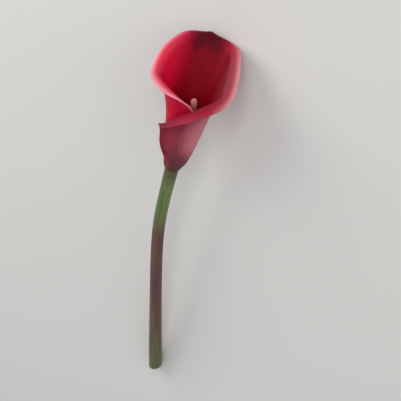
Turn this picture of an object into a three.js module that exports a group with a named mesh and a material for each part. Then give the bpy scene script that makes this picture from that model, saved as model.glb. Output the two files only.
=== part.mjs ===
// Arum lily flower, as picked: one flower of a small dark red calla, lying on its back.
//
// Millimetres. The flower is drawn upright in its own frame: the foot of the spathe at the origin,
// +Z up its tube, the midrib at the back (+Y), the mouth facing -Y. It is then laid down on a
// surface at z = 0, with its stem along -Y and the mouth facing up.
//
// The spathe is one leaf rolled round the spadix. It is drawn by rays that leave its foot, each at
// an angle round the tube counted from the midrib: below 0 on the flower's left, above 0 on its
// right. The left margin is rolled in first, and the right margin wraps over it.

import * as THREE from 'three';

// Spathe: lengths along its rays, from the foot to the edge.
const BLADE_LENGTH = 92; // up the midrib, without the drawn-out point
const POINT_LENGTH = 6;
const POINT_WIDTH = 8; // degrees
const SEAM_LENGTH = 7; // where the two margins part
const COLLAR = 3; // below this the foot is a closed ring
const SEAM_TURN = 35; // degrees, from the front of the foot round to the seam on the flower's left
const SEAM_GAP = 2.4; // degrees, each side of the seam just above the collar
const WRAP_RISE = 14; // above the seam, where the margins come to lie over each other
const LAYER_RISE = 5; // above the collar, where the layers part
// For each side: how far round it wraps, the length of its wrapped part and how suddenly that ends,
// how far round the blade reaches, and how much its side and its shoulder lean out.
const LEFT = { span: 230, wrap: 71.5, round: 0.5, reach: 95, flare: 26.5, shoulder: -6 };
const RIGHT = { span: 262, wrap: 71, round: 0.9, reach: 117, flare: -5.8, shoulder: 2 };
const BLADE_POWER = 1.8; // how square the shoulders are

// Spathe: the slope of a ray away from the tube's axis, in degrees.
const TUBE_SLOPE = 8;
const NECK = { slope: 24, fade: 8 };
const FLARE = { start: 0.38, back: 12, front: 16 }; // it starts at this share of the ray
const BACK_EDGE = 20; // the back of the flower ends here,
const SIDE = 90; // its sides are here,
const FRONT = 180; // and its front is here
const SHOULDER = { centre: 40, width: 22 };
const CHEEK = { start: 0.66, slope: 43.5, centre: 109, width: 34.5 }; // the full lower right of the mouth
const FLAP = { slope: 3, length: 3, centre: 236, width: 24 }; // the corner of the outer margin
const TUCK = { from: 85, to: 234 }; // the left margin runs straight down into the throat
const LIP = { width: 9, frontWidth: 12.5, back: 85, side: 95, front: 140, point: 125, pointWidth: 9 };
const LIP_FRONT = { from: 100, to: 150 }; // towards the front it rolls right over
const LIP_FADE = { from: 195, to: 245 }; // the outer margin lies flat near the foot

// Spathe: wall and wrap.
const FOOT_RADIUS = 4; // middle of the wall
const LAYER = 1.9; // from one layer of the wrap to the next
const WALL = 1.3;
const WALL_AT_EDGE = 0.7;
const EDGE_TAPER = 8; // width of the thinner edge
const FOOT_TAPER = 4; // and of the thick foot
const CORNER = 45; // length of the rays where the margins turn into the rim of the blade

// Spadix: it stands on the top of the stem and leans to the flower's right, and its tip hooks back to the left.
const SPADIX_TIP = 51;
const SPADIX_LEAN = 6; // degrees
const SPADIX_HOOK = 3.4;
const PEG_TOP = 3;
const POLLEN_START = 14;
const POLLEN = { columns: 24, rows: 38, radius: 1.85, relief: 0.25, tip: 2 };
const OVARY = { columns: 20, rows: 9, radius: 2.45, relief: 0.42, tip: 0 };

// Stem: its top is a peg that the foot of the spathe is closed round.
const STEM_LENGTH = 165;
const STEM_RADIUS = 4.1;
const STEM_NECK = { radius: 4.6, fade: 12, top: -0.75 };
const STEM_CUT_RADIUS = 4.7;
const STEM_BEND = { at: 42, over: 11, lean: 12 }; // it bends to the flower's right, this far below its top
const STEM_BOW = 15; // how far back the cut end stands
const CUT_SLANT = 2.2; // height of the slanting cut
const PEG = { radius: 2.9, foot: 0.15, chamfer: 0.35 };
const STEM_SIDES = 24;
const STEM_STEP = 6.5;

const GAP = 0.3;

// How the flower lies: turned about its own axis, and its mouth end tipped up off the surface.
const LIE_TURN = 23.63;
const LIE_TILT = 0.484;

const COLOURS = { spathe: 0x8e0d22, stem: 0x4f5f26, pollen: 0xdc9080, ovary: 0x9aa85a };

const { sin, cos, exp, abs, sqrt, PI } = Math;
const radians = THREE.MathUtils.degToRad;
const clamp = (x) => Math.min(Math.max(x, 0), 1);
const smooth = (x) => clamp(x) ** 2 * (3 - 2 * clamp(x));
const between = (x, from, to) => smooth((x - from) / (to - from));
const bell = (x, { centre, width }) => exp(-(((x - centre) / width) ** 2));

// A spike over the midrib with a rounded top: 1 in the middle, gone a few widths away.
const spike = (angle, width) => exp(-(sqrt(angle * angle + 4) - 2) / width);

const sideOf = (angle) => (angle < 0 ? LEFT : RIGHT);

function rayLength(angle) {
  const side = sideOf(angle);
  const away = abs(angle);
  const rolled = 1 - Math.min(away / side.span, 1) ** 4;
  const wrap = SEAM_LENGTH + (side.wrap - SEAM_LENGTH) * rolled ** side.round;
  const blade = 0.5 + 0.5 * cos(PI * clamp(away / side.reach) ** BLADE_POWER);
  const drawnOut = POINT_LENGTH * spike(away, POINT_WIDTH) + FLAP.length * bell(angle, FLAP);
  return wrap + (BLADE_LENGTH - side.wrap) * blade + drawnOut;
}

function raySlope(angle, along, length) {
  const side = sideOf(angle);
  const away = abs(angle);
  const tube = TUBE_SLOPE + NECK.slope * exp(-along / NECK.fade);
  const flare = FLARE.back + (side.flare - FLARE.back) * between(away, BACK_EDGE, SIDE)
    + (FLARE.front - side.flare) * between(away, SIDE, FRONT)
    + side.shoulder * bell(away, SHOULDER)
    + FLAP.slope * bell(angle, FLAP);
  const opening = flare * between(along, FLARE.start * length, length)
    + CHEEK.slope * bell(angle, CHEEK) * between(along, CHEEK.start * length, length);
  const point = spike(away, LIP.pointWidth);
  const roll = LIP.back + (LIP.side - LIP.back) * between(away, 0, SIDE)
    + (LIP.front - LIP.side) * between(away, LIP_FRONT.from, LIP_FRONT.to) + (LIP.point - LIP.back) * point;
  const width = LIP.width + (LIP.frontWidth - LIP.width) * between(away, SIDE, FRONT) + POINT_LENGTH * point;
  const lip = roll * between(along, length - width, length) * (1 - between(away, LIP_FADE.from, LIP_FADE.to));
  const tuck = 1 - between(-angle, TUCK.from, TUCK.to);
  return radians(tube + (opening + lip) * tuck);
}

// The middle of the wall, a given length up the ray from the foot.
function spatheMiddle(angle, reached) {
  const side = sideOf(angle);
  const length = rayLength(angle);
  const steps = 80;
  let radius = FOOT_RADIUS;
  let height = 0;
  for (let i = 0; i < steps; i += 1) {
    const slope = raySlope(angle, (reached * (i + 0.5)) / steps, length);
    radius += (sin(slope) * reached) / steps;
    height += (cos(slope) * reached) / steps;
  }
  const seam = FRONT + (side === RIGHT ? SEAM_TURN : -SEAM_TURN);
  const closed = seam - SEAM_GAP * between(reached, COLLAR, COLLAR + 1);
  const wrapped = between(reached, SEAM_LENGTH, SEAM_LENGTH + WRAP_RISE);
  const turn = (angle / side.span) * (closed + (side.span - seam) * wrapped);
  radius += ((LAYER * turn) / 360) * between(reached, COLLAR, COLLAR + LAYER_RISE);
  return new THREE.Vector3(radius * sin(radians(turn)), radius * cos(radians(turn)), height);
}

function spatheNormal(angle, reached) {
  const step = 0.05;
  const low = Math.max(angle - step, -LEFT.span);
  const high = Math.min(angle + step, RIGHT.span);
  const across = spatheMiddle(high, reached).sub(spatheMiddle(low, reached));
  const along = spatheMiddle(angle, reached + step).sub(spatheMiddle(angle, reached));
  return along.cross(across).normalize();
}

function spatheWall(angle, reached) {
  const toEdge = rayLength(angle) - reached;
  const body = Math.max(smooth(toEdge / EDGE_TAPER), 1 - smooth(reached / FOOT_TAPER));
  return WALL_AT_EDGE + (WALL - WALL_AT_EDGE) * body;
}

// Values that climb through stretches of [to, steps], each stretch evenly divided.
function stations(from, stretches) {
  const values = [from];
  for (const [to, steps] of stretches) {
    const start = values[values.length - 1];
    for (let i = 1; i <= steps; i += 1) values.push(start + ((to - start) * i) / steps);
  }
  return values;
}

function meshFrom(name, points, faces, colour, roughness) {
  const geometry = new THREE.BufferGeometry();
  geometry.setAttribute('position', new THREE.Float32BufferAttribute(points.flatMap((p) => p.toArray()), 3));
  geometry.setIndex(faces.flat());
  geometry.computeVertexNormals();
  const material = new THREE.MeshStandardMaterial({ color: colour, roughness, metalness: 0 });
  const mesh = new THREE.Mesh(geometry, material);
  mesh.name = name;
  return mesh;
}

// The ray that is as long as this where it meets the margin, in degrees from the midrib.
function marginAngle(side, length) {
  if (length <= SEAM_LENGTH) return side.span;
  let [near, far] = [60, side.span];
  for (let i = 0; i < 40; i += 1) {
    const middle = (near + far) / 2;
    if (rayLength(side === LEFT ? -middle : middle) > length) near = middle;
    else far = middle;
  }
  return far;
}

// The leaf as a sheet: across from margin (-1) to margin (1), and up from the foot (0) to the rim (1).
// Its sides follow the margins as far as their corners, and its last row is the rim between them.
function leafPlace(across, up) {
  const side = across < 0 ? LEFT : RIGHT;
  const margin = CORNER * up;
  const angle = across * marginAngle(side, margin);
  const rise = ((BLADE_LENGTH - CORNER) * up) / (BLADE_LENGTH - margin);
  return [angle, margin + (rayLength(angle) - margin) * rise];
}

// The rolled leaf as one closed wall. Both of its faces are split along the same diagonals.
function makeSpathe() {
  const half = stations(0, [[0.06, 4], [0.95, 21], [1, 5]]);
  const columns = [...half.slice(1).reverse().map((across) => -across), ...half];
  const rows = stations(0, [[0.08, 4], [0.3, 8], [0.5, 6], [0.83, 6], [1, 8]]);
  const last = columns.length - 1;
  const edge = rows.length - 1;
  const joined = (row) => leafPlace(1, rows[row])[1] <= COLLAR;
  const points = [];
  rows.forEach((up) => columns.forEach((across) => {
    const [angle, reached] = leafPlace(across, up);
    const middle = spatheMiddle(angle, reached);
    const reach = spatheNormal(angle, reached).multiplyScalar(spatheWall(angle, reached) / 2);
    points.push(middle.clone().add(reach), middle.clone().sub(reach));
  }));
  const outer = (row, column) => 2 * (row * (last + 1) + (joined(row) && column === last ? 0 : column));
  const inner = (row, column) => outer(row, column) + 1;
  const faces = [];
  const quad = (a, b, c, d) => faces.push([a, b, c], [a, c, d]);
  for (let row = 0; row < edge; row += 1) {
    for (let i = 0; i < last; i += 1) {
      const corners = [[row, i], [row + 1, i], [row + 1, i + 1], [row, i + 1]];
      if (columns[i] >= 0) corners.push(corners.shift()); // the shorter diagonal, as the rays lean outward
      const [a, b, c, d] = corners.map(([r, column]) => outer(r, column));
      quad(a, b, c, d);
      faces.push([a + 1, c + 1, b + 1], [a + 1, d + 1, c + 1]);
    }
    if (!joined(row + 1)) {
      quad(outer(row, 0), inner(row, 0), inner(row + 1, 0), outer(row + 1, 0));
      quad(inner(row, last), outer(row, last), outer(row + 1, last), inner(row + 1, last));
    }
  }
  for (let i = 0; i < last; i += 1) {
    quad(inner(0, i), outer(0, i), outer(0, i + 1), inner(0, i + 1));
    quad(outer(edge, i), inner(edge, i), inner(edge, i + 1), outer(edge, i + 1));
  }
  const used = [...new Set(faces.flat())].sort((a, b) => a - b);
  const place = new Map(used.map((index, i) => [index, i]));
  const kept = used.map((index) => points[index]);
  return meshFrom('spathe', kept, faces.map((f) => f.map((i) => place.get(i))), COLOURS.spathe, 0.45);
}

// A closed rod from rings of points, each ring counter-clockwise seen from the rod's far end.
// With studs, every other point is a peak, and the faces fold along the valleys between peaks.
function makeRod(name, rings, colour, studs = false) {
  const sides = rings[0].length;
  const points = rings.flat();
  const faces = [];
  for (let row = 0; row + 1 < rings.length; row += 1) {
    for (let i = 0; i < sides; i += 1) {
      const next = (i + 1) % sides;
      const [a, b] = [row * sides + i, row * sides + next];
      const [c, d] = [b + sides, a + sides];
      if (studs && (row + i) % 2 === 0) faces.push([a, b, d], [b, c, d]);
      else faces.push([a, b, c], [a, c, d]);
    }
  }
  const middleOf = (ring) => ring.reduce((sum, p) => sum.add(p), new THREE.Vector3()).divideScalar(sides);
  const foot = points.push(middleOf(rings[0])) - 1;
  const top = points.push(middleOf(rings[rings.length - 1])) - 1;
  const topRow = (rings.length - 1) * sides;
  for (let i = 0; i < sides; i += 1) {
    const next = (i + 1) % sides;
    faces.push([foot, next, i], [top, topRow + i, topRow + next]);
  }
  return meshFrom(name, points, faces, colour, 0.6);
}

// A place on the straight spadix, this far out, round and up from the peg's top, as the spadix bends.
function bentSpadix(reach, turn, height) {
  const lean = Math.tan(radians(SPADIX_LEAN));
  const whole = SPADIX_TIP - PEG_TOP;
  const share = height / whole;
  const tilt = Math.atan(lean - (6 * SPADIX_HOOK * share ** 5) / whole);
  const aside = lean * height - SPADIX_HOOK * share ** 6;
  const across = reach * cos(turn);
  return new THREE.Vector3(aside + across * cos(tilt), reach * sin(turn), height - across * sin(tilt));
}

// One zone of the spadix, covered with florets as studs in staggered rows, a given way up from the peg's top.
function makeSpadixZone(name, { columns, rows, radius, relief, tip }, foot, length, colour) {
  const rings = [];
  for (let row = 0; row <= rows; row += 1) {
    const height = (length * row) / rows;
    const intoTip = tip > 0 ? clamp(1 - (length - height) / tip) : 0;
    const body = radius * sqrt(1 - 0.9 * intoTip ** 2.4);
    const ring = [];
    for (let i = 0; i < columns; i += 1) {
      const peak = (row + i) % 2 === 0 && row > 0 && row < rows;
      const reach = body + (peak ? relief : 0);
      const turn = (2 * PI * i) / columns;
      ring.push(bentSpadix(reach, turn, foot + height));
    }
    rings.push(ring);
  }
  return makeRod(name, rings, colour, true);
}

function makeStem() {
  const axis = (z) => {
    const bent = STEM_BEND.over * Math.log1p(exp((-z - STEM_BEND.at) / STEM_BEND.over));
    return new THREE.Vector3(Math.tan(radians(STEM_BEND.lean)) * bent, STEM_BOW * (z / STEM_LENGTH) ** 2, z);
  };
  const ringAt = (z, radius, slant = 0) => {
    const up = axis(z + 0.5).sub(axis(z - 0.5)).normalize();
    const right = new THREE.Vector3(0, 1, 0).cross(up).normalize();
    const back = up.clone().cross(right);
    return Array.from({ length: STEM_SIDES }, (_, i) => {
      const turn = (2 * PI * i) / STEM_SIDES;
      return axis(z).addScaledVector(right, radius * cos(turn)).addScaledVector(back, radius * sin(turn))
        .addScaledVector(up, (slant / 2) * cos(turn));
    });
  };
  const steps = Math.round(STEM_LENGTH / STEM_STEP);
  const rings = [];
  for (let i = 0; i <= steps; i += 1) {
    const z = -STEM_LENGTH + ((STEM_LENGTH + STEM_NECK.top) * i) / steps;
    const radius = STEM_RADIUS + (STEM_NECK.radius - STEM_RADIUS) * exp((z - STEM_NECK.top) / STEM_NECK.fade)
      + (STEM_CUT_RADIUS - STEM_RADIUS) * between(-z, STEM_LENGTH / 2, STEM_LENGTH);
    rings.push(ringAt(z, radius, i === 0 ? CUT_SLANT : 0));
  }
  rings.push(ringAt(PEG.foot, PEG.radius));
  rings.push(ringAt(PEG_TOP - PEG.chamfer, PEG.radius));
  rings.push(ringAt(PEG_TOP, PEG.radius - PEG.chamfer));
  return makeRod('stem', rings, COLOURS.stem);
}

const spadix = new THREE.Group();
spadix.position.z = PEG_TOP;
const pollenFoot = POLLEN_START - PEG_TOP;
const ovaryZone = makeSpadixZone('spadix_ovary_zone', OVARY, GAP, pollenFoot - 2 * GAP, COLOURS.ovary);
const pollenZone = makeSpadixZone('spadix_pollen_zone', POLLEN, pollenFoot, SPADIX_TIP - POLLEN_START, COLOURS.pollen);
spadix.add(ovaryZone, pollenZone);

const flower = new THREE.Group();
flower.rotation.z = radians(LIE_TURN);
flower.add(makeStem(), makeSpathe(), spadix);

const laid = new THREE.Group();
laid.rotation.x = radians(LIE_TILT - 90);
laid.add(flower);

// The origin is the middle of the foot of the whole flower's box.
const group = new THREE.Group();
group.add(laid);
group.updateMatrixWorld(true);
const box = new THREE.Box3().setFromObject(group, true);
laid.position.set(-(box.min.x + box.max.x) / 2, -(box.min.y + box.max.y) / 2, -box.min.z);

export default group;
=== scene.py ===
"""Arum lily flower, as picked: one dark red flower of a small calla, lying on a pale surface.

The flower is drawn upright in millimetres and degrees about its own axes, with the foot of the spathe at the
origin, +Z up its tube, the midrib at the back (+Y) and the mouth facing -Y. It is then laid down where the
frame's solids lie. Blender's own units are metres, and MM is one millimetre in them.
"""

import math
import bpy
import numpy as np
from mathutils import Matrix, Vector


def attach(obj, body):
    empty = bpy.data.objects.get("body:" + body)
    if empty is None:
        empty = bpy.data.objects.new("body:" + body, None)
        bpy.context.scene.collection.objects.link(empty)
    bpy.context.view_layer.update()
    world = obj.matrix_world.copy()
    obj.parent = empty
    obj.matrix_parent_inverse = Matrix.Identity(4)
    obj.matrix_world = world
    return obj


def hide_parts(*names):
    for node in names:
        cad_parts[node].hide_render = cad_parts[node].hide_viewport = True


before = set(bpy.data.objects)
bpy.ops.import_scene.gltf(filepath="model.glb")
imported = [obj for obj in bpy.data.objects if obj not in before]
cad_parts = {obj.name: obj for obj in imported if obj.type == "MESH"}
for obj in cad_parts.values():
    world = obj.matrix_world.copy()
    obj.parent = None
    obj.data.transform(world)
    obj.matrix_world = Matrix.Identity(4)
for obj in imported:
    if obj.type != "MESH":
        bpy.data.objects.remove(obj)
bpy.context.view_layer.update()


# Stem
# The stalk that the flower was picked by: one smooth fleshy green rod with fine lengthwise ridges. It bends
# over a little below the flower, flushes purple brown lower down and ends in a slanting knife cut. Its top
# is a short peg, which the foot of the spathe has grown round.
MM = 0.001
STEM_LENGTH = 165
STEM_RADIUS = 4.1
STEM_NECK_RADIUS = 4.6
STEM_NECK_FADE = 12
STEM_TOP = -0.15
STEM_CUT_RADIUS = 4.7
STEM_BEND_AT = 42
STEM_BEND_OVER = 11
STEM_BEND_LEAN = 12
STEM_BOW = 15
STEM_ROWS = 280
STEM_SIDES = 72

# Sets of ridges: how many go round the stem, and how deep they are. They sway a little along the stem.
RIDGES = ((19, 0.035), (27, 0.03), (41, 0.02))
RIDGE_SWAY = 1.5
RIDGE_SWAY_LENGTH = 40
RIDGE_FADE = 9

# The cut is slanted, dished by its drying pith and bevelled by the knife. Its rings are shares of its radius.
CUT_SLANT = 2.2
CUT_FADE = 6.3
CUT_DISH = 0.35
CUT_RINGS = (0.12, 0.3, 0.5, 0.7, 0.85)
CUT_BEVEL = 0.3
BEVEL_ROUND = 0.3

# The foot of the spathe sits on the seat, a shoulder between the neck and the peg.
SEAT_BEVEL = 0.35
SEAT_RISE = 0.1
PEG_RADIUS = 2.9
PEG_TOP = 3
PEG_BEVEL = 0.3

# The flower is turned about its tube and tipped back until it is almost level.
LIE_TURN = 23.63
LIE_TILT = 0.484


def between(x, start, end):
    """Climbs smoothly from 0 to 1 as x goes from start to end."""
    t = np.clip((x - start) / (end - start), 0, 1)
    return t * t * (3 - 2 * t)


def stem_axis(z):
    """The middle of the stem at a height, which is below 0 under the flower."""
    bent = STEM_BEND_OVER * np.log1p(np.exp((-z - STEM_BEND_AT) / STEM_BEND_OVER))
    right = math.tan(math.radians(STEM_BEND_LEAN)) * bent
    return np.stack([right, STEM_BOW * (z / STEM_LENGTH) ** 2, z], axis=-1)


def unit(vectors):
    """The vectors at a length of 1."""
    return vectors / np.linalg.norm(vectors, axis=-1, keepdims=True)


# The flower's own axes as they lie, hung on the middle of the top of the stem's solid.
tipped_back = Matrix.Rotation(math.radians(LIE_TILT - 90), 3, "X")
lying = np.array(tipped_back @ Matrix.Rotation(math.radians(LIE_TURN), 3, "Z"))
solid_stem = np.array([v.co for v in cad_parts["stem"].data.vertices])
up_flower = solid_stem @ lying[:, 2]
peg_top = solid_stem[up_flower > up_flower.max() - 0.1 * MM].mean(axis=0)
flower_origin = peg_top - lying @ stem_axis(np.array(float(PEG_TOP))) * MM


def laid(points):
    """Points about the flower's own axes, as metres where the flower lies."""
    return points @ lying.T * MM + flower_origin


def into_scene(name, data):
    """A new object for a mesh, a lamp or a camera, in the scene."""
    made = bpy.data.objects.new(name, data)
    bpy.context.scene.collection.objects.link(made)
    return made


def make_mesh(name, points, faces, values):
    """A smooth mesh from points about the flower's own axes, with named numbers or vectors for its points."""
    mesh = bpy.data.meshes.new(name)
    mesh.from_pydata(laid(points).tolist(), [], faces)
    for key, value in values.items():
        value = np.asarray(value, np.float32)
        kind, part = ("FLOAT", "value") if value.ndim == 1 else ("FLOAT_VECTOR", "vector")
        mesh.attributes.new(key, kind, "POINT").data.foreach_set(part, value.ravel())
    mesh.shade_smooth()
    mesh.validate()
    return into_scene(name, mesh)


def tube_faces(rows, sides):
    """Four-sided faces between rings, pointing outwards where each ring turns the right-handed way."""
    faces = []
    for row in range(rows - 1):
        for i in range(sides):
            j = (i + 1) % sides
            faces.append((row * sides + i, row * sides + j, (row + 1) * sides + j, (row + 1) * sides + i))
    return faces


def stem_rings():
    """Each ring's height, radius, share of the cut's slant and depth of the dished pith, from the cut up."""
    cut = [(-STEM_LENGTH, STEM_CUT_RADIUS * share, share, CUT_DISH * (1 - share ** 2)) for share in CUT_RINGS]
    cut.append((-STEM_LENGTH, STEM_CUT_RADIUS - CUT_BEVEL, 1, 0))
    rounded = BEVEL_ROUND * CUT_BEVEL
    cut.append((-STEM_LENGTH + rounded, STEM_CUT_RADIUS - rounded, 1, 0))
    side = []
    for z in np.linspace(-STEM_LENGTH + CUT_BEVEL, STEM_TOP, STEM_ROWS):
        neck = (STEM_NECK_RADIUS - STEM_RADIUS) * math.exp((z - STEM_TOP) / STEM_NECK_FADE)
        swelling = (STEM_CUT_RADIUS - STEM_RADIUS) * between(-z, STEM_LENGTH / 2, STEM_LENGTH)
        slant = 1 - between(z, -STEM_LENGTH, -STEM_LENGTH + CUT_FADE)
        side.append((z, STEM_RADIUS + neck + swelling, slant, 0))
    seat = [(SEAT_RISE, STEM_NECK_RADIUS - SEAT_BEVEL, 0, 0), (2 * SEAT_RISE, PEG_RADIUS, 0, 0)]
    peg = [(PEG_TOP - PEG_BEVEL, PEG_RADIUS, 0, 0), (PEG_TOP, PEG_RADIUS - PEG_BEVEL, 0, 0)]
    return np.array(cut + side + seat + peg)


z, radius, slant, dish = stem_rings().T[..., None]
stem_rows = len(z)
turns = np.arange(STEM_SIDES) * 2 * math.pi / STEM_SIDES
ridges = sum(depth * np.cos(count * turns + RIDGE_SWAY * np.sin(z / RIDGE_SWAY_LENGTH + count))
             for count, depth in RIDGES)
on_side = (dish == 0) & (z < 0)
reach = radius + ridges * on_side * between(-z, 0, RIDGE_FADE)
rise = (CUT_SLANT / 2) * slant * np.cos(turns) * radius / STEM_CUT_RADIUS + dish
up = unit(stem_axis(z[:, 0] + 0.5) - stem_axis(z[:, 0] - 0.5))
right = unit(np.cross([0, 1, 0], up))
back = np.cross(up, right)
cos = np.cos(turns)[None, :, None]
sin = np.sin(turns)[None, :, None]
skin = (stem_axis(z[:, 0])[:, None] + reach[..., None] * (right[:, None] * cos + back[:, None] * sin)
        + rise[..., None] * up[:, None])
points = np.vstack([skin.reshape(-1, 3), skin[0].mean(axis=0), skin[-1].mean(axis=0)])

# Where each point would be on a straight stem, which the streaks follow, and which points are on the cut.
straight = np.stack([reach * np.cos(turns), reach * np.sin(turns), z + rise], axis=-1)
straight = np.vstack([straight.reshape(-1, 3), [[0, 0, -STEM_LENGTH], [0, 0, PEG_TOP]]])
on_cut = np.repeat(np.arange(stem_rows), STEM_SIDES) <= len(CUT_RINGS)
cut_face = np.append(on_cut.astype(float), [1, 0])

faces = tube_faces(stem_rows, STEM_SIDES)
top_ring = (stem_rows - 1) * STEM_SIDES
cut_middle = stem_rows * STEM_SIDES
peg_middle = cut_middle + 1
for i in range(STEM_SIDES):
    j = (i + 1) % STEM_SIDES
    faces.append((cut_middle, j, i))
    faces.append((peg_middle, top_ring + i, top_ring + j))
stem = make_mesh("stem_skin", points, faces, {"straight": straight, "cut_face": cut_face})


def feed(tree, node, inputs):
    """Gives each named input of a node a plain value or another node's output."""
    for key, value in inputs.items():
        if isinstance(value, bpy.types.NodeSocket):
            tree.links.new(value, node.inputs[key])
        else:
            node.inputs[key].default_value = value


def add_node(tree, kind, inputs=None, **settings):
    """A new node with its settings and its inputs."""
    made = tree.nodes.new(kind)
    for key, value in settings.items():
        setattr(made, key, value)
    feed(tree, made, inputs or {})
    return made


def seen(red, green, blue):
    """A colour as it looks on a screen, each part from 0 to 255, as the shader reads it."""
    shares = (red / 255, green / 255, blue / 255)
    return (*(c / 12.92 if c <= 0.04045 else ((c + 0.055) / 1.055) ** 2.4 for c in shares), 1)


def step_mask(tree, value, start, end):
    """0 where value is at start, 1 where it is at end, smooth between."""
    inputs = {"Value": value, "From Min": start, "From Max": end}
    return add_node(tree, "ShaderNodeMapRange", inputs, interpolation_type="SMOOTHSTEP").outputs["Result"]


def mix_colour(tree, factor, first, second):
    """The first colour where factor is 0, the second where it is 1."""
    colour_sockets = {0: factor, 6: first, 7: second}
    return add_node(tree, "ShaderNodeMix", colour_sockets, data_type="RGBA").outputs[2]


def maths(tree, operation, *values):
    return add_node(tree, "ShaderNodeMath", dict(enumerate(values)), operation=operation).outputs[0]


def times(tree, first, *others):
    """Numbers or masks multiplied together."""
    for other in others:
        first = maths(tree, "MULTIPLY", first, other)
    return first


def vector_maths(tree, operation, inputs):
    """The outputs of a vector maths node."""
    return add_node(tree, "ShaderNodeVectorMath", inputs, operation=operation).outputs


def patches(tree, place, scale, detail, roughness):
    """Soft irregular patches."""
    inputs = {"Vector": place, "Scale": scale, "Detail": detail, "Roughness": roughness}
    return add_node(tree, "ShaderNodeTexNoise", inputs).outputs["Fac"]


def relief(tree, height, strength, depth):
    """The surface's normal over fine relief, whose depth is in metres."""
    inputs = {"Height": height, "Strength": strength, "Distance": depth}
    return add_node(tree, "ShaderNodeBump", inputs).outputs[0]


def attribute(tree, name):
    """The outputs of a value that each point of the mesh carries."""
    return add_node(tree, "ShaderNodeAttribute", attribute_name=name).outputs


def new_material(name):
    """A new material, its node tree and its shader."""
    material = bpy.data.materials.new(name)
    material.use_nodes = True
    return material, material.node_tree, material.node_tree.nodes["Principled BSDF"]


def new_group(name, numbers, results):
    """A shader node group that takes a Place and named numbers, and gives named results."""
    group = bpy.data.node_groups.new(name, "ShaderNodeTree")
    group.interface.new_socket(name="Place", in_out="INPUT", socket_type="NodeSocketVector")
    for key, usual in numbers.items():
        socket = group.interface.new_socket(name=key, in_out="INPUT", socket_type="NodeSocketFloat")
        socket.default_value = usual
    for key in results:
        group.interface.new_socket(name=key, in_out="OUTPUT", socket_type="NodeSocketFloat")
    return group, group.nodes.new("NodeGroupInput").outputs, group.nodes.new("NodeGroupOutput")


def place_group(tree, group, **inputs):
    """The outputs of a group that is set in a material with its own values."""
    return add_node(tree, "ShaderNodeGroup", inputs, node_tree=group).outputs


# Fine fibres that run along a stalk or a leaf. Place holds across, along and depth in millimetres.
fibres, given, result = new_group("fibres", {"Spacing": 1.0, "Length": 30.0}, ["Streaks", "Mottle"])
across = maths(fibres, "DIVIDE", 1.0, given["Spacing"])
along = maths(fibres, "DIVIDE", 1.0, given["Length"])
stretch = add_node(fibres, "ShaderNodeCombineXYZ", {"X": across, "Y": along, "Z": across}).outputs[0]
stretched = vector_maths(fibres, "MULTIPLY", {0: given["Place"], 1: stretch})[0]
threads = patches(fibres, stretched, scale=1.0, detail=3.0, roughness=0.6)
blotches = patches(fibres, stretched, scale=0.35, detail=2.0, roughness=0.5)
feed(fibres, result, {
    "Streaks": step_mask(fibres, threads, 0.38, 0.66),
    "Mottle": step_mask(fibres, blotches, 0.3, 0.7)})

# The skin's cells: tiny rounded bumps, which make a petal look velvety and a stalk look waxy.
cells, given, result = new_group("cells", {"Size": 0.2}, ["Height"])
per_size = maths(cells, "DIVIDE", 1.0, given["Size"])
spread = vector_maths(cells, "SCALE", {0: given["Place"], "Scale": per_size})[0]
pebbles = add_node(cells, "ShaderNodeTexVoronoi", {"Vector": spread, "Scale": 1.0}, feature="SMOOTH_F1")
feed(cells, result, {"Height": maths(cells, "SUBTRACT", 1.0, pebbles.outputs["Distance"])})

# Heights between which the skin's colours change, and the radii between which the cut's rind starts.
FLUSH = (-18.0, -56.0)
FLUSH_FROM_CUT = (-215.0, -85.0)
BROWN_TOP = (-14.0, 0.0)
RIND = (3.7, 4.3)

stem_finish, tree, shader = new_material("waxy green stem")
grain = attribute(tree, "straight")["Vector"]
height = add_node(tree, "ShaderNodeSeparateXYZ", {0: grain}).outputs["Z"]
onto_its_side = (math.radians(90), 0, 0)
lengthwise = add_node(tree, "ShaderNodeMapping", {"Vector": grain, "Rotation": onto_its_side}).outputs[0]
streaks = place_group(tree, fibres, Place=lengthwise, Spacing=0.7, Length=26.0)
blush = place_group(tree, fibres, Place=lengthwise, Spacing=5.0, Length=34.0)
fine_streaks = times(tree, streaks["Streaks"], 0.6)
green = mix_colour(tree, fine_streaks, seen(82, 102, 44), seen(132, 152, 90))
green = mix_colour(tree, times(tree, streaks["Mottle"], 0.22), green, seen(62, 78, 36))
purple = mix_colour(tree, fine_streaks, seen(84, 46, 48), seen(112, 82, 66))
low = maths(tree, "ADD", step_mask(tree, height, *FLUSH), times(tree, blush["Mottle"], 0.4))
tinted = times(tree, step_mask(tree, low, 0.3, 1.15), step_mask(tree, height, *FLUSH_FROM_CUT))
colour = mix_colour(tree, tinted, green, purple)
colour = mix_colour(tree, step_mask(tree, height, *BROWN_TOP), colour, seen(84, 74, 48))

# The cut shows pale wet pith with a greener rind.
pith = place_group(tree, cells, Place=grain, Size=0.5)
wet = step_mask(tree, pith["Height"], 0.3, 0.85)
cut_colour = mix_colour(tree, wet, seen(158, 168, 108), seen(196, 202, 150))
flat_place = vector_maths(tree, "MULTIPLY", {0: grain, 1: (1, 1, 0)})[0]
from_axis = vector_maths(tree, "LENGTH", {0: flat_place})["Value"]
cut_colour = mix_colour(tree, step_mask(tree, from_axis, *RIND), cut_colour, seen(104, 124, 62))
colour = mix_colour(tree, attribute(tree, "cut_face")["Fac"], colour, cut_colour)

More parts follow.
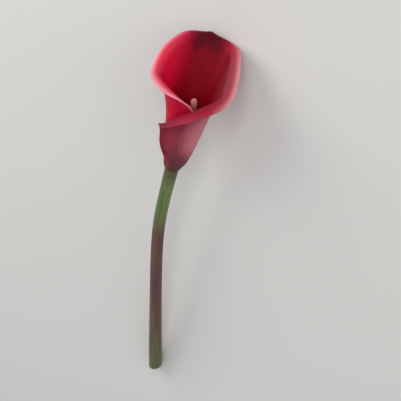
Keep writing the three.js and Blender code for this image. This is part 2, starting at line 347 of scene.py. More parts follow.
skin_cells = place_group(tree, cells, Place=grain, Size=0.25)
bumps = maths(tree, "ADD", streaks["Streaks"], times(tree, skin_cells["Height"], 0.5))
feed(tree, shader, {
    "Base Color": colour,
    "Normal": relief(tree, bumps, strength=0.2, depth=0.08 * MM),
    "Roughness": maths(tree, "MULTIPLY_ADD", streaks["Mottle"], 0.12, 0.36),
    "Specular IOR Level": 0.4,
    "Coat Weight": 0.15,
    "Coat Roughness": 0.3,
    "Subsurface Weight": 0.12,
    "Subsurface Radius": (0.6, 1.0, 0.3),
    "Subsurface Scale": 1.5 * MM})
stem.data.materials.append(stem_finish)
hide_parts("stem")
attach(stem, "root")


# Spathe
# One leaf, rolled into a funnel round the spadix, with its foot grown round the top of the stem. The left
# margin is rolled in first and the right margin wraps over it. Its blade opens into a wide mouth, whose edge
# rolls outwards as a paler lip and is drawn out behind into a small curled point.
BLADE_LENGTH = 92
POINT_LENGTH = 6
POINT_WIDTH = 8
POINT_ROUND = 2
SEAM_LENGTH = 7
COLLAR = 3
SEAM_TURN = 35
SEAM_GAP = 2.4
WRAP_RISE = 14
WRAP_POWER = 4
LAYER = 1.9
LAYER_RISE = 5
BLADE_POWER = 1.8
TUBE_SLOPE = 8
NECK_SLOPE = 24
NECK_FADE = 8
FLARE_START = 0.38
FLARE_BACK = 12
FLARE_FRONT = 16
BACK_EDGE = 20
SIDE = 90
FRONT = 180
FOOT_RADIUS = 4
WALL = 1.3
WALL_AT_EDGE = 0.7
EDGE_TAPER = 8
FOOT_TAPER = 4
MARGIN_FROM = 60

# Pairs for the flower's left and right.
SPANS = (230, 262)
WRAPS = (71.5, 71)
ROUNDS = (0.5, 0.9)
REACHES = (95, 117)
FLARES = (26.5, -5.8)
SHOULDERS = (-6, 2)

# Swellings of the mouth: a slope, and a pair for the middle and the width round from the midrib. On the left
# the leaf stops opening over the angles of TUCK, where its margin is rolled in.
SHOULDER = (40, 22)
CHEEK_SLOPE = 43.5
CHEEK = (109, 34.5)
CHEEK_START = 0.66
FLAP_SLOPE = 3
FLAP_LENGTH = 3
FLAP = (236, 24)
TUCK = (85, 234)

# How far the lip rolls over behind, at the side, in front and at the point, and how wide the roll is.
LIP_BACK = 85
LIP_SIDE = 95
LIP_FRONT = 140
LIP_FRONT_ROUND = (100, 150)
LIP_POINT = 125
LIP_POINT_WIDTH = 9
LIP_WIDTH = 9
LIP_WIDTH_FRONT = 12.5
LIP_FADE = (195, 245)

# The veins and the midrib stand out by their depth. They start and end over pairs of lengths: from the foot,
# or from the edge for the veins' end.
VEIN_SPACING = 8
VEIN_DEPTH = 0.025
VEIN_START = (4, 20)
VEIN_END = (0, 6)
MIDRIB_DEPTH = 0.16
MIDRIB_WIDTH = 3.0
MIDRIB_START = (2, 25)
MIDRIB_END = (70, 84)


def bell(x, shape):
    """1 at the shape's middle, fading over its width."""
    centre, width = shape
    return np.exp(-(((x - centre) / width) ** 2))


def spike(angle, width):
    """1 over the midrib, with a rounded top, gone a few widths away."""
    return np.exp(-(np.sqrt(angle ** 2 + POINT_ROUND ** 2) - POINT_ROUND) / width)


def by_side(angle, pair):
    """The first of the pair on the flower's left, the second on its right."""
    return np.where(angle < 0, pair[0], pair[1])


def ray_length(angle):
    """How far the leaf reaches from its foot along the ray at this angle from the midrib."""
    away = np.abs(angle)
    wrap_length = by_side(angle, WRAPS)
    rolled = 1 - np.minimum(away / by_side(angle, SPANS), 1) ** WRAP_POWER
    wrap = SEAM_LENGTH + (wrap_length - SEAM_LENGTH) * rolled ** by_side(angle, ROUNDS)
    blade = 0.5 + 0.5 * np.cos(np.pi * np.clip(away / by_side(angle, REACHES), 0, 1) ** BLADE_POWER)
    drawn_out = POINT_LENGTH * spike(away, POINT_WIDTH) + FLAP_LENGTH * bell(angle, FLAP)
    return wrap + (BLADE_LENGTH - wrap_length) * blade + drawn_out


def ray_slope(angle, along, length):
    """How far the ray leans away from the tube's axis."""
    away = np.abs(angle)
    side_flare = by_side(angle, FLARES)
    tube = TUBE_SLOPE + NECK_SLOPE * np.exp(-along / NECK_FADE)
    flare = (FLARE_BACK + (side_flare - FLARE_BACK) * between(away, BACK_EDGE, SIDE)
             + (FLARE_FRONT - side_flare) * between(away, SIDE, FRONT)
             + by_side(angle, SHOULDERS) * bell(away, SHOULDER)
             + FLAP_SLOPE * bell(angle, FLAP))
    opening = flare * between(along, FLARE_START * length, length)
    opening += CHEEK_SLOPE * bell(angle, CHEEK) * between(along, CHEEK_START * length, length)
    point = spike(away, LIP_POINT_WIDTH)
    roll = (LIP_BACK + (LIP_SIDE - LIP_BACK) * between(away, 0, SIDE)
            + (LIP_FRONT - LIP_SIDE) * between(away, *LIP_FRONT_ROUND)
            + (LIP_POINT - LIP_BACK) * point)
    width = LIP_WIDTH + (LIP_WIDTH_FRONT - LIP_WIDTH) * between(away, SIDE, FRONT) + POINT_LENGTH * point
    lip = roll * between(along, length - width, length) * (1 - between(away, *LIP_FADE))
    tuck = 1 - between(-angle, *TUCK)
    return tube + (opening + lip) * tuck


def spathe_middle(angle, reached):
    """The middle of the wall, a given length up the ray from the foot."""
    length = ray_length(angle)
    steps = 80
    out = np.full(np.shape(angle), float(FOOT_RADIUS))
    height = np.zeros(np.shape(angle))
    for i in range(steps):
        slope = np.radians(ray_slope(angle, reached * (i + 0.5) / steps, length))
        out += np.sin(slope) * reached / steps
        height += np.cos(slope) * reached / steps
    span = by_side(angle, SPANS)
    seam = FRONT + by_side(angle, (-SEAM_TURN, SEAM_TURN))
    closed = seam - SEAM_GAP * between(reached, COLLAR, COLLAR + 1)
    turn = (angle / span) * (closed + (span - seam) * between(reached, SEAM_LENGTH, SEAM_LENGTH + WRAP_RISE))
    out += LAYER * turn / 360 * between(reached, COLLAR, COLLAR + LAYER_RISE)
    turn = np.radians(turn)
    return np.stack([out * np.sin(turn), out * np.cos(turn), height], axis=-1)


def spathe_normal(angle, reached):
    """Out of the tube, square to the wall."""
    step = 0.05
    low = np.maximum(angle - step, -SPANS[0])
    high = np.minimum(angle + step, SPANS[1])
    across = spathe_middle(high, reached) - spathe_middle(low, reached)
    along = spathe_middle(angle, reached + step) - spathe_middle(angle, reached)
    return unit(np.cross(along, across))


def spathe_wall(reached, to_edge):
    """The wall's thickness, a given length from the foot and from the edge."""
    body = np.maximum(between(to_edge, 0, EDGE_TAPER), 1 - between(reached, 0, FOOT_TAPER))
    return WALL_AT_EDGE + (WALL - WALL_AT_EDGE) * body


def margin_angle(side, length):
    """The ray that is this long where it meets the margin, found by halving the range it can be in."""
    sign = (-1, 1)[side]
    near = np.full(np.shape(length), float(MARGIN_FROM))
    far = np.full(np.shape(length), float(SPANS[side]))
    for _ in range(40):
        middle = (near + far) / 2
        longer = ray_length(sign * middle) > length
        near = np.where(longer, middle, near)
        far = np.where(longer, far, middle)
    return np.where(length <= SEAM_LENGTH, SPANS[side], far)


def stretches(*parts):
    """Values from 0 through stretches of (end, steps), each stretch evenly divided."""
    values = [0.0]
    for end, steps in parts:
        values += list(np.linspace(values[-1], end, steps + 1)[1:])
    return np.array(values)


# Rows of points run from the left margin round to the right one, and climb from the foot to the mouth's edge.
# Each row starts higher up the margins, as far as CORNER, where the margins pass into the mouth's edge.
CORNER = 45
half = stretches((0.06, 14), (0.95, 134), (1, 12))
across = np.concatenate([-half[:0:-1], half])
up = stretches((0.08, 16), (0.3, 24), (0.83, 42), (1, 32))
margin = CORNER * up
ray = np.where(across < 0, margin_angle(0, margin)[:, None], margin_angle(1, margin)[:, None]) * across
rise = (BLADE_LENGTH - CORNER) * up / (BLADE_LENGTH - margin)
full_length = ray_length(ray)
reached = margin[:, None] + (full_length - margin[:, None]) * rise[:, None]
to_edge = full_length - reached
place_on_leaf = np.stack([ray, reached, to_edge], axis=-1)
rows, columns = ray.shape

veins = VEIN_DEPTH * np.cos(2 * np.pi * ray / VEIN_SPACING)
veins = veins * between(reached, *VEIN_START) * between(to_edge, *VEIN_END)
midrib = MIDRIB_DEPTH * np.exp(-((ray / MIDRIB_WIDTH) ** 2))
midrib = midrib * between(reached, *MIDRIB_START) * (1 - between(reached, *MIDRIB_END))
normal = spathe_normal(ray, reached)
middle = spathe_middle(ray, reached) + normal * (veins + midrib * 0.5)[..., None]
thick = (spathe_wall(reached, to_edge) + midrib)[..., None] / 2
outer = middle + normal * thick
inner = middle - normal * thick

# The rows in the collar at the foot are closed rings, which join up across the seam.
joined = int((reached[:, -1] <= COLLAR).sum())
outer_at = np.arange(rows * columns).reshape(rows, columns)
inner_at = outer_at + rows * columns
outer_at[:joined, -1] = outer_at[:joined, 0]
inner_at[:joined, -1] = inner_at[:joined, 0]

# The loop of free edge, up the left margin, round the mouth and down the right margin. Each place on it is
# drawn in by a little, to leave room for the arc of points that rounds it.
EDGE_DEPTH = 0.21
FOOT_DEPTH = 0.25
EDGE_ARC = (45, 0, -45)
left_margin = [(row, 0) for row in range(joined - 1, rows)]
mouth = [(rows - 1, i) for i in range(1, columns)]
right_margin = [(row, columns - 1) for row in range(rows - 2, joined - 1, -1)]
loop = tuple(np.array(left_margin + mouth + right_margin).T)
edge_middle = (outer[loop] + inner[loop]) / 2
edge_half = (outer[loop] - inner[loop]) / 2
heading = unit(np.roll(edge_middle, -1, axis=0) - np.roll(edge_middle, 1, axis=0))
edge_out = unit(np.cross(heading, unit(edge_half))) * EDGE_DEPTH
edge_out[0] = 0
outer[loop] -= edge_out
inner[loop] -= edge_out

# Both sides of the leaf. Corners name the (row, column) steps round each face, so that it points outwards.
# For the colours, each point keeps its place on the leaf, and 1 on the inner side or 0 on the outer.
CORNERS = ((0, 0), (1, 0), (1, 1), (0, 1))
FOOT_CORNERS = ((0, 0), (0, 1), (1, 1), (1, 0))
faces = []
for row in range(rows - 1):
    for i in range(columns - 1):
        faces.append(tuple(outer_at[row + over, i + on] for over, on in CORNERS))
        faces.append(tuple(inner_at[row + over, i + on] for over, on in CORNERS[::-1]))
points = [outer.reshape(-1, 3), inner.reshape(-1, 3)]
leaf = [place_on_leaf.reshape(-1, 3), place_on_leaf.reshape(-1, 3)]
inside = [np.zeros(rows * columns), np.ones(rows * columns)]


def round_edge(where, middle, half, out, corners):
    """Joins the outer side's edge to the inner side's by an arc of new points, which bulges outwards."""
    lines = [outer_at[where]]
    for degrees in EDGE_ARC:
        cos = math.cos(math.radians(degrees))
        sin = math.sin(math.radians(degrees))
        lines.append(np.arange(len(middle)) + sum(len(part) for part in points))
        points.append(middle + half * sin + out * cos)
        leaf.append(place_on_leaf[where])
        inside.append(np.full(len(middle), 0.5 - sin / 2))
    lines.append(inner_at[where])
    for k in range(len(lines) - 1):
        for i in range(len(middle)):
            faces.append(tuple(lines[k + over][(i + on) % len(middle)] for over, on in corners))


round_edge(loop, edge_middle - edge_out, edge_half, edge_out, CORNERS)
foot = (0, slice(0, columns - 1))
foot_middle = (outer[foot] + inner[foot]) / 2
foot_half = (outer[foot] - inner[foot]) / 2
round_edge(foot, foot_middle, foot_half, np.array([0, 0, -FOOT_DEPTH]), FOOT_CORNERS)

# The points that no face uses, at the seam, are left out.
points = np.vstack(points)
used = np.unique(np.array(faces))
renumbered = np.zeros(len(points), int)
renumbered[used] = np.arange(len(used))
faces = renumbered[np.array(faces)].tolist()
spathe = make_mesh("spathe_leaf", points[used], faces, {
    "leaf": np.vstack(leaf)[used], "inside": np.concatenate(inside)[used]})

spathe_finish, tree, shader = new_material("velvety crimson spathe")
place = add_node(tree, "ShaderNodeSeparateXYZ", {0: attribute(tree, "leaf")["Vector"]}).outputs
measures = {"angle": place["X"], "along": place["Y"], "edge": place["Z"]}
measures["away"] = maths(tree, "ABSOLUTE", place["X"])
face_in = attribute(tree, "inside")["Fac"]


def on_leaf(**ranges):
    """A mask that climbs from 0 to 1 as each named measure goes from its first to its second value.

    Angle is degrees round from the midrib, below 0 on the flower's left, and away is the same without a sign.
    Along is millimetres from the foot, and edge is millimetres in from the edge.
    """
    return times(tree, *(step_mask(tree, measures[key], *values) for key, values in ranges.items()))


def object_place(tree):
    """The place on the object, in millimetres."""
    here = add_node(tree, "ShaderNodeTexCoord").outputs["Object"]
    return vector_maths(tree, "SCALE", {0: here, "Scale": 1 / MM})[0]


# The veins follow the leaf. Its two sides are set apart, so that they don't share their streaks.
SIDES_APART = 60.0
vein_place = add_node(tree, "ShaderNodeCombineXYZ", {
    "X": measures["angle"], "Y": measures["along"], "Z": times(tree, face_in, SIDES_APART)}).outputs[0]
fine = place_group(tree, fibres, Place=vein_place, Spacing=2.2, Length=28.0)
broad = place_group(tree, fibres, Place=vein_place, Spacing=9.0, Length=46.0)

# The inner face: deep red in the throat, bright crimson up the flower's left, which is a painted glow of
# light through the thin leaf, and dusky near its right lip, which is a painted sheen.
left_glow = on_leaf(angle=(-8.0, -70.0))
right_sheen = on_leaf(angle=(30.0, 80.0))
throat = mix_colour(tree, on_leaf(along=(18.0, 50.0)), seen(94, 0, 6), seen(146, 0, 16))
upper_wall = mix_colour(tree, left_glow, seen(136, 0, 22), seen(214, 0, 52))
upper_wall = mix_colour(tree, right_sheen, upper_wall, seen(128, 28, 42))
wall_in = mix_colour(tree, on_leaf(edge=(44.0, 12.0)), throat, upper_wall)
wall_in = mix_colour(tree, times(tree, broad["Streaks"], 0.09), wall_in, seen(100, 0, 18))

# Its lip: rose pink and paler to the very edge at the sides, partly its own colour and partly a painted
# highlight, and duller on its right, a painted sheen. It is darker crimson in front, which is painted shade,
# and dark red behind, under the curled point, which is painted shade too.
# Paler at the sides is partly a painted highlight; darker in front is painted shade; duller on the right is
# painted sheen.
pale = on_leaf(away=(26.0, 56.0), angle=(150.0, 108.0))
shaded_front = on_leaf(angle=(170.0, 225.0))
front_lip = mix_colour(tree, shaded_front, seen(160, 24, 50), seen(112, 12, 34))
side_lip = mix_colour(tree, right_sheen, seen(212, 44, 76), seen(180, 62, 80))
lip = mix_colour(tree, pale, front_lip, side_lip)
lip_in = mix_colour(tree, on_leaf(edge=(9.0, 2.6)), wall_in, lip)
front_rim = mix_colour(tree, shaded_front, seen(176, 52, 76), seen(128, 24, 46))
side_rim = mix_colour(tree, right_sheen, seen(244, 136, 148), seen(242, 160, 160))
rim = mix_colour(tree, pale, front_rim, side_rim)
lip_in = mix_colour(tree, on_leaf(edge=(4.6, 0.4)), lip_in, rim)
# Painted shade: dark red under the curled point, where the lip turns away from the light.
behind = times(tree, on_leaf(away=(38.0, 8.0), edge=(20.0, 9.0)), on_leaf(edge=(0.4, 2.5)))
lip_in = mix_colour(tree, times(tree, behind, 0.9), lip_in, seen(66, 0, 12))

# The outer face: greenish brown at the foot, mauve brown up the tube and paler round its right, which is a
# painted highlight, and crimson towards the mouth. On the left margin, which the right one wraps over, it is
# a brighter crimson, partly a painted glow of light through the thin leaf, and a painted shade darkens it
# beside the seam.
tube_out = mix_colour(tree, on_leaf(along=(0.0, 9.0)), seen(78, 66, 38), seen(104, 56, 58))
tube_out = mix_colour(tree, on_leaf(along=(6.0, 30.0)), tube_out, seen(146, 58, 70))
# Painted highlight: paler round the tube's right, where the light from the right falls.
tinted = times(tree, on_leaf(angle=(190.0, 135.0), along=(8.0, 26.0)), right_sheen)
tube_out = mix_colour(tree, tinted, tube_out, seen(204, 122, 132))
tube_out = mix_colour(tree, on_leaf(edge=(30.0, 8.0)), tube_out, seen(160, 44, 64))
tube_out = mix_colour(tree, times(tree, broad["Streaks"], 0.25), tube_out, seen(120, 40, 54))
# Partly painted glow: brighter crimson on the left margin, where light comes through the thin leaf.
left_margin_glow = on_leaf(angle=(-75.0, -125.0), along=(18.0, 34.0))
tube_out = mix_colour(tree, left_margin_glow, tube_out, seen(198, 8, 50))
# Painted shade: darker red beside the seam.
seam_shade = on_leaf(angle=(205.0, 250.0), along=(8.0, 16.0))
tube_out = mix_colour(tree, times(tree, seam_shade, 0.85), tube_out, seen(112, 14, 20))
edged = times(tree, on_leaf(edge=(6.0, 0.5), angle=(236.0, 190.0)), on_leaf(angle=(-110.0, -70.0)))
lip_out = mix_colour(tree, edged, tube_out, seen(200, 84, 104))

# The left margin is pale along its very edge, where the light comes through the thin leaf.
margin_line = on_leaf(edge=(2.2, 1.0), angle=(-40.0, -80.0), along=(16.0, 30.0))

colour = mix_colour(tree, face_in, lip_out, lip_in)
colour = mix_colour(tree, times(tree, margin_line, 0.9), colour, seen(255, 150, 170))
colour = mix_colour(tree, times(tree, fine["Streaks"], 0.045), colour, seen(214, 50, 80))
colour = mix_colour(tree, times(tree, broad["Mottle"], 0.1), colour, seen(60, 0, 14))
velvet = place_group(tree, cells, Place=object_place(tree), Size=0.16)
bumps = maths(tree, "ADD", fine["Streaks"], times(tree, velvet["Height"], 0.35))
feed(tree, shader, {
    "Base Color": colour,
    "Normal": relief(tree, bumps, strength=0.15, depth=0.1 * MM),
    "Roughness": maths(tree, "MULTIPLY_ADD", fine["Mottle"], 0.1, 0.5),
    "Coat Weight": times(tree, on_leaf(edge=(12.0, 4.0)), pale, 0.35),
    "Coat Roughness": 0.32,
    "Specular IOR Level": 0.1,
    "Sheen Weight": 0.04,
    "Sheen Roughness": 0.4,
    "Sheen Tint": seen(255, 190, 200),
    "Subsurface Weight": 0.4,
    "Subsurface Radius": (1.0, 0.08, 0.16),
    "Subsurface Scale": 2.2 * MM})
spathe.data.materials.append(spathe_finish)
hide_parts("spathe")
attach(spathe, "root")


# Ovary florets
# The lower zone of the spadix, deep in the tube: round green ovaries packed in a spiral on the fleshy core,
# each with a short blunt style.
SPADIX_LEAN = 6
SPADIX_HOOK = 3.4
HOOK_POWER = 6
SPADIX_TIP = 51
POLLEN_START = 14
ZONE_GAP = 0.3
OVARY_COUNT = 64
OVARY_CORE = 2.05
OVARY_RADIUS = 2.2
OVARY_SIZE = 0.8
OVARY_SEED = 3
OVARY_LOBES = (((0.82, 0.82, 0.7), (0, 0, -0.1)), ((0.22, 0.22, 0.4), (0, 0, 0.5)))

# The spiral's turn from one floret to the next, what the nodes take in, and each floret's small differences:
# the most that it is turned, in radians about its three axes, and the least and the most that it grows.
GOLDEN = math.radians(137.508)
FLORET_INPUTS = {"Core": "Geometry", "Count": "Int", "Length": "Float", "Radius": "Float", "Tip": "Float",
                 "Floret": "Float", "Seed": "Int", "Finish": "Material"}
BALL_SEGMENTS = 7
BALL_RINGS = 5
FLORET_SPIN = (0.12, 0.12, 0.6)
FLORET_GROWTH = (0.88, 1.08)

# The core's rings: (height, share of the radius) at a flat end, and degrees up the round tip.
CORE_SIDES = 24
CORE_ROWS = 12
CORE_START = 0.6
CORE_END = ((0, 0.35), (0, 0.93), (0.15, 1))
TIP_ARC = (20, 38, 55, 70, 82)
TIP_FLAT = 0.03


def floret_tree(name, lobes):
    """Geometry nodes that set florets in a spiral over a rod with a round tip, and join them to its core.

    Each floret is made of lobes: (size, place) of a ball each, in shares of the floret's size.
    """
    tree = bpy.data.node_groups.new(name, "GeometryNodeTree")
    tree.is_modifier = True
    for key, kind in FLORET_INPUTS.items():
        tree.interface.new_socket(key, in_out="INPUT", socket_type="NodeSocket" + kind)
    tree.interface.new_socket("Florets", in_out="OUTPUT", socket_type="NodeSocketGeometry")
    given = tree.nodes.new("NodeGroupInput").outputs
    result = tree.nodes.new("NodeGroupOutput")

    # Each floret's height and turn in the spiral. Over the tip, the rod's side leans in like a ball's. A rod
    # with a flat end has a Tip of 0.
    index = add_node(tree, "GeometryNodeInputIndex").outputs[0]
    share = maths(tree, "DIVIDE", maths(tree, "ADD", index, 0.5), given["Count"])
    height = times(tree, share, given["Length"])
    turn = times(tree, index, GOLDEN)
    over = maths(tree, "SUBTRACT", height, maths(tree, "SUBTRACT", given["Length"], given["Tip"]))
    tip = maths(tree, "DIVIDE", over, maths(tree, "MAXIMUM", given["Tip"], 0.001))
    tip = maths(tree, "MAXIMUM", tip, 0.0)
    tip = times(tree, tip, maths(tree, "GREATER_THAN", given["Tip"], 0.01))
    flat = maths(tree, "MAXIMUM", maths(tree, "SUBTRACT", 1.0, times(tree, tip, tip)), 0.0)
    flat = maths(tree, "SQRT", flat)
    east = maths(tree, "COSINE", turn)
    north = maths(tree, "SINE", turn)
    outwards = add_node(tree, "ShaderNodeCombineXYZ", {
        "X": times(tree, east, flat), "Y": times(tree, north, flat), "Z": tip}).outputs[0]
    ring = times(tree, given["Radius"], flat)
    spot = add_node(tree, "ShaderNodeCombineXYZ", {
        "X": times(tree, east, ring), "Y": times(tree, north, ring), "Z": height}).outputs[0]
    spots = add_node(tree, "GeometryNodePoints", {"Count": given["Count"], "Position": spot}).outputs[0]

    join = tree.nodes.new("GeometryNodeJoinGeometry")
    for size, place in lobes:
        ball = add_node(tree, "GeometryNodeMeshUVSphere", {
            "Segments": BALL_SEGMENTS, "Rings": BALL_RINGS, "Radius": 1.0}).outputs["Mesh"]
        lobe = add_node(tree, "GeometryNodeTransform", {
            "Geometry": ball, "Translation": place, "Scale": size}).outputs[0]
        tree.links.new(lobe, join.inputs[0])

    # Every floret is turned and grown a little otherwise, and carries a tone of its own from 0 to 1. Inputs 2
    # and 3 of a random number are its least and its most, and output 1 is the number.
    facing = add_node(tree, "FunctionNodeAlignRotationToVector", {"Vector": outwards}, axis="Z").outputs[0]
    spin = add_node(tree, "FunctionNodeRandomValue", {
        "Min": tuple(-most for most in FLORET_SPIN), "Max": FLORET_SPIN, "Seed": given["Seed"]},
        data_type="FLOAT_VECTOR").outputs[0]
    facing = add_node(tree, "FunctionNodeRotateRotation", {
        "Rotation": facing, "Rotate By": spin}, rotation_space="LOCAL").outputs[0]
    least, most = FLORET_GROWTH
    growth = add_node(tree, "FunctionNodeRandomValue", {
        2: least, 3: most, "Seed": maths(tree, "ADD", given["Seed"], 1.0)}, data_type="FLOAT").outputs[1]
    florets = add_node(tree, "GeometryNodeInstanceOnPoints", {
        "Points": spots, "Instance": join.outputs[0], "Rotation": facing,
        "Scale": times(tree, growth, given["Floret"])}).outputs[0]
    tone = add_node(tree, "FunctionNodeRandomValue", {
        "Seed": maths(tree, "ADD", given["Seed"], 2.0)}, data_type="FLOAT").outputs[1]
    toned = add_node(tree, "GeometryNodeStoreNamedAttribute", {
        "Geometry": florets, "Name": "tone", "Value": tone}, data_type="FLOAT", domain="INSTANCE").outputs[0]

    solid = add_node(tree, "GeometryNodeRealizeInstances", {"Geometry": toned}).outputs[0]
    whole = tree.nodes.new("GeometryNodeJoinGeometry")
    tree.links.new(given["Core"], whole.inputs[0])
    tree.links.new(solid, whole.inputs[0])
    smooth = add_node(tree, "GeometryNodeSetShadeSmooth", {"Geometry": whole.outputs[0]}).outputs[0]
    finished = add_node(tree, "GeometryNodeSetMaterial", {"Geometry": smooth, "Material": given["Finish"]})
    tree.links.new(finished.outputs[0], result.inputs[0])
    return tree


spadix_place = (Matrix.Translation(Vector(flower_origin)) @ Matrix(lying.tolist()).to_4x4()
                @ Matrix.Scale(MM, 4) @ Matrix.Translation((0, 0, PEG_TOP)))


def bend_spadix(points):
    """Bends a straight spadix, which stands on the peg, over to the right and its tip back to the left."""
    length = SPADIX_TIP - PEG_TOP
    share = points[:, 2] / length
    lean = math.tan(math.radians(SPADIX_LEAN))
    aside = lean * points[:, 2] - SPADIX_HOOK * share ** HOOK_POWER
    tilt = np.arctan(lean - HOOK_POWER * SPADIX_HOOK * share ** (HOOK_POWER - 1) / length)
    bent = points.copy()
    bent[:, 0] = aside + points[:, 0] * np.cos(tilt)
    bent[:, 2] = points[:, 2] - points[:, 0] * np.sin(tilt)
    return bent


def rod(length, radius, tip):
    """The core's closed mesh, upright from the origin, with a round tip or, where tip is 0, two flat ends."""
    side = np.linspace(CORE_START, length - max(tip, CORE_START), CORE_ROWS)
    rings = list(CORE_END) + [(h, 1) for h in side]
    if tip:
        rings += [(length - tip + tip * math.sin(a), math.cos(a)) for a in np.radians(TIP_ARC)]
        rings.append((length, TIP_FLAT))
    else:
        rings += [(length - h, share) for h, share in reversed(CORE_END)]
    turns = np.arange(CORE_SIDES) * 2 * math.pi / CORE_SIDES
    points = [(radius * share * math.cos(a), radius * share * math.sin(a), h)
              for h, share in rings for a in turns]
    faces = tube_faces(len(rings), CORE_SIDES)
    faces.append(tuple(range(CORE_SIDES - 1, -1, -1)))
    faces.append(tuple((len(rings) - 1) * CORE_SIDES + i for i in range(CORE_SIDES)))
    return points, faces


def grow_florets(name, nodes, start, length, core, inputs):
    """The finished florets and their core as one plain mesh, laid where the spadix lies."""
    mesh = bpy.data.meshes.new(name)
    points, faces = rod(length, core, inputs["Tip"])
    mesh.from_pydata(points, [], faces)
    seedling = into_scene(name, mesh)
    modifier = seedling.modifiers.new("florets", "NODES")
    modifier.node_group = nodes
    for socket in nodes.interface.items_tree:
        if socket.name in inputs:
            modifier[socket.identifier] = inputs[socket.name]
    grown = seedling.evaluated_get(bpy.context.evaluated_depsgraph_get())
    plain = bpy.data.meshes.new_from_object(grown)
    bpy.data.objects.remove(seedling)
    straight = np.array([v.co for v in plain.vertices]) + (0, 0, start)
    plain.vertices.foreach_set("co", bend_spadix(straight).ravel())
    heights = plain.attributes.new("height", "FLOAT", "POINT").data
    heights.foreach_set("value", straight[:, 2].astype(np.float32))
    plain.transform(spadix_place)
    return into_scene(name, plain)


ovary_finish, tree, shader = new_material("green ovaries")
tone = attribute(tree, "tone")["Fac"]
skin = place_group(tree, cells, Place=object_place(tree), Size=0.12)
colour = mix_colour(tree, tone, seen(120, 134, 62), seen(164, 168, 96))
colour = mix_colour(tree, times(tree, skin["Height"], 0.25), colour, seen(190, 186, 130))
feed(tree, shader, {
    "Base Color": colour,
    "Normal": relief(tree, skin["Height"], strength=0.3, depth=0.05 * MM),
    "Roughness": 0.45,
    "Subsurface Weight": 0.2,
    "Subsurface Radius": (0.7, 0.9, 0.3),
    "Subsurface Scale": 0.6 * MM})
ovary_length = POLLEN_START - PEG_TOP - 2 * ZONE_GAP
ovary_nodes = floret_tree("ovaries", OVARY_LOBES)
ovaries = grow_florets("ovary_cluster", ovary_nodes, ZONE_GAP, ovary_length, OVARY_CORE, {
    "Count": OVARY_COUNT, "Length": ovary_length, "Radius": OVARY_RADIUS, "Tip": 0.0, "Floret": OVARY_SIZE,
    "Seed": OVARY_SEED, "Finish": ovary_finish})
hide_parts("spadix_ovary_zone")
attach(ovaries, "root")


# Pollen florets
# The upper zone of the spadix, up to its round tip: hundreds of tiny blunt anthers in a tight spiral. They
# are dull red low down, partly painted shade deep in the tube, and peach pink towards the tip, where they are
# ripe and dusted with paler pollen, and partly a painted highlight where the light catches the tip.
POLLEN_COUNT = 600
POLLEN_CORE = 1.75
POLLEN_RADIUS = 1.82
POLLEN_TIP = 1.9
POLLEN_TIP_INSET = 0.2
ANTHER_SIZE = 0.45
ANTHER_LOBES = (((0.42, 0.66, 0.62), (-0.36, 0, 0)), ((0.42, 0.66, 0.62), (0.36, 0, 0)))
POLLEN_SEED = 11
RIPE_AND_LIT = (40.0, 47.5)

pollen_finish, tree, shader = new_material("powdery pollen florets")
here = object_place(tree)
tone = attribute(tree, "tone")["Fac"]
# Paler towards the tip is partly a painted highlight, and the dull red low down is partly painted shade deep
# in the tube.
ripe_and_lit = step_mask(tree, attribute(tree, "height")["Fac"], *RIPE_AND_LIT)
low = mix_colour(tree, tone, seen(140, 44, 50), seen(172, 70, 70))
high = mix_colour(tree, tone, seen(230, 126, 130), seen(250, 160, 158))
dust = step_mask(tree, patches(tree, here, scale=0.9, detail=5.0, roughness=0.75), 0.42, 0.66)
dusted = times(tree, dust, maths(tree, "MULTIPLY_ADD", ripe_and_lit, 0.6, 0.16))
colour = mix_colour(tree, dusted, mix_colour(tree, ripe_and_lit, low, high), seen(248, 190, 172))
grains = place_group(tree, cells, Place=here, Size=0.08)
feed(tree, shader, {
    "Base Color": colour,
    "Normal": relief(tree, grains["Height"], strength=0.5, depth=0.04 * MM),
    "Roughness": 0.72,
    "Sheen Weight": 0.2,
    "Subsurface Weight": 0.2,
    "Subsurface Radius": (1.0, 0.6, 0.4),
    "Subsurface Scale": 0.5 * MM})
pollen_length = SPADIX_TIP - POLLEN_START
pollen_nodes = floret_tree("anthers", ANTHER_LOBES)
pollen = grow_florets("pollen_spike", pollen_nodes, POLLEN_START - PEG_TOP, pollen_length, POLLEN_CORE, {
    "Count": POLLEN_COUNT, "Length": pollen_length - POLLEN_TIP_INSET, "Radius": POLLEN_RADIUS,
    "Tip": POLLEN_TIP, "Floret": ANTHER_SIZE, "Seed": POLLEN_SEED, "Finish": pollen_finish})
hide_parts("spadix_pollen_zone")
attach(pollen, "root")


# Surface, light and camera
# A plain pale surface under the flower, with a soft key light from the upper left and weaker ones from the
# right and the front. The camera looks into the mouth at the photograph's angle, and sees the whole flower.
# The distances here are in metres.
SURFACE_REACH = 3
VIEW_DROP = 28
VIEW_LEAN = 16.5
AIM_RIGHT = 0.0185
AIM_UP = -0.0209
LENS = 100
DISTANCE = 0.72

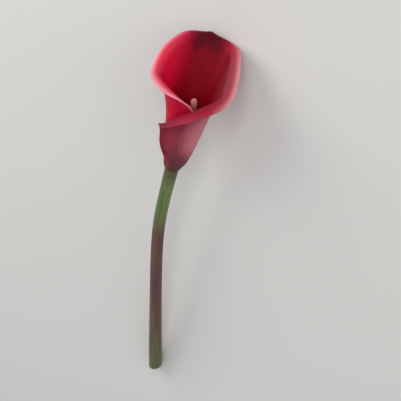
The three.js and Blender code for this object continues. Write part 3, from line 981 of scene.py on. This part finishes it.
floor_mesh = bpy.data.meshes.new("pale_surface")
floor_corners = [(x * SURFACE_REACH, y * SURFACE_REACH, 0) for x, y in ((-1, -1), (1, -1), (1, 1), (-1, 1))]
floor_mesh.from_pydata(floor_corners, [], [(0, 1, 2, 3)])
floor = into_scene("pale_surface", floor_mesh)
floor_finish, tree, shader = new_material("matt pale surface")
feed(tree, shader, {"Base Color": seen(214, 212, 206), "Roughness": 0.85})
floor_mesh.materials.append(floor_finish)

drop = math.radians(VIEW_DROP)
view_back = Vector((0, -math.cos(drop), math.sin(drop)))
view_turn = view_back.to_track_quat("Z", "Y").to_matrix() @ Matrix.Rotation(math.radians(VIEW_LEAN), 3, "Z")
view = Matrix(lying.tolist()) @ view_turn
middle_of_view = Vector(flower_origin) + view @ Vector((AIM_RIGHT, AIM_UP, 0))
camera_data = bpy.data.cameras.new("camera")
camera_data.lens = LENS
camera_data.clip_start = 0.01
camera = into_scene("camera", camera_data)
camera.matrix_world = Matrix.Translation(middle_of_view + view.col[2] * DISTANCE) @ view.to_4x4()
bpy.context.scene.camera = camera

world = bpy.data.worlds.new("studio")
world.use_nodes = True
feed(world.node_tree, world.node_tree.nodes["Background"], {"Color": (0.9, 0.92, 1, 1), "Strength": 0.55})
bpy.context.scene.world = world
bpy.context.scene.view_settings.view_transform = "Standard"


def add_light(name, place, power, size, tint):
    """A square soft light, placed from the middle of the view, which it points at."""
    data = bpy.data.lights.new(name, "AREA")
    data.energy = power
    data.size = size
    data.color = tint
    lamp = into_scene(name, data)
    aim = Vector(place).to_track_quat("Z", "Y").to_matrix().to_4x4()
    lamp.matrix_world = Matrix.Translation(middle_of_view + Vector(place)) @ aim


add_light("left", place=(-0.8, 0.3, 0.5), power=4.0, size=0.6, tint=(1, 0.98, 0.95))
add_light("right", place=(0.85, 0.45, 0.5), power=1.6, size=0.6, tint=(1, 0.98, 0.96))
add_light("front", place=(0.12, 0.64, 0.85), power=3.0, size=0.5, tint=(1, 0.99, 0.97))
